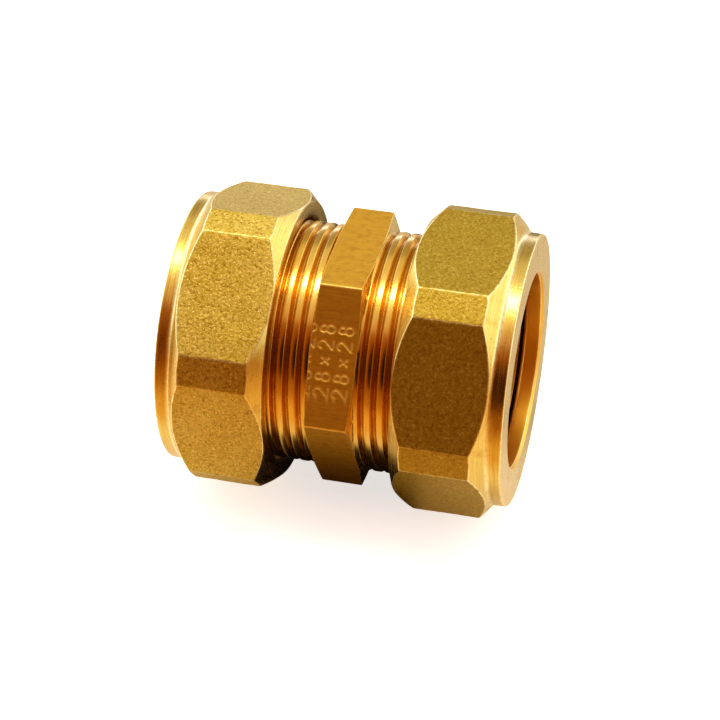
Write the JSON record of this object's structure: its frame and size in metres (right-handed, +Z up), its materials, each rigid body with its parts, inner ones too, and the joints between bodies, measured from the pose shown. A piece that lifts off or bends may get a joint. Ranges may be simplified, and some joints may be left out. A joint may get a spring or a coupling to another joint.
{
  "type": "compression fitting",
  "caption": "Straight brass compression coupling: a threaded hexagonal body with a hexagon nut and an olive at each end, which join two copper pipes in line.",
  "frame": {"origin": "the middle of the body on the pipe axis, which is also the middle of the part's bounding box", "axes": "+X along the pipe axis towards the right nut, +Z up, square to the top flat of the body's hexagon"},
  "size_m": [0.0498, 0.0446, 0.0444],
  "materials": {
    "body_brass": "hexagon left as drawn bar, satin; threads turned bright",
    "nut_brass": "hot-forged and shot-blasted, matte and finely speckled, with chamfers and collar turned bright",
    "olive_brass": "turned, soft and bright"
  },
  "bodies": {
    "body": {"body": "body_brass"},
    "left_olive": {"left_olive": "olive_brass"},
    "right_olive": {"right_olive": "olive_brass"},
    "left_nut": {"left_nut": "nut_brass"},
    "right_nut": {"right_nut": "nut_brass"}
  },
  "joints": [
    {"name": "left_olive_slide", "type": "slide", "parent": "body", "child": "left_olive", "axis": [-1, 0, 0], "range_m": [0, 0.0069]},
    {"name": "left_nut_turn", "type": "hinge", "parent": "left_olive", "child": "left_nut", "pos_m": [-0.017, 0, 0], "axis": [-1, 0, 0], "range_deg": [0, 1350]},
    {"name": "right_olive_slide", "type": "slide", "parent": "body", "child": "right_olive", "axis": [1, 0, 0], "range_m": [0, 0.0069]},
    {"name": "right_nut_turn", "type": "hinge", "parent": "right_olive", "child": "right_nut", "pos_m": [0.017, 0, 0], "axis": [1, 0, 0], "range_deg": [0, 1350]}
  ],
  "couplings": [
    {"joint": "left_olive_slide", "follows": "left_nut_turn", "m_per_rad": 0.00028875},
    {"joint": "right_olive_slide", "follows": "right_nut_turn", "m_per_rad": 0.00028875}
  ]
}
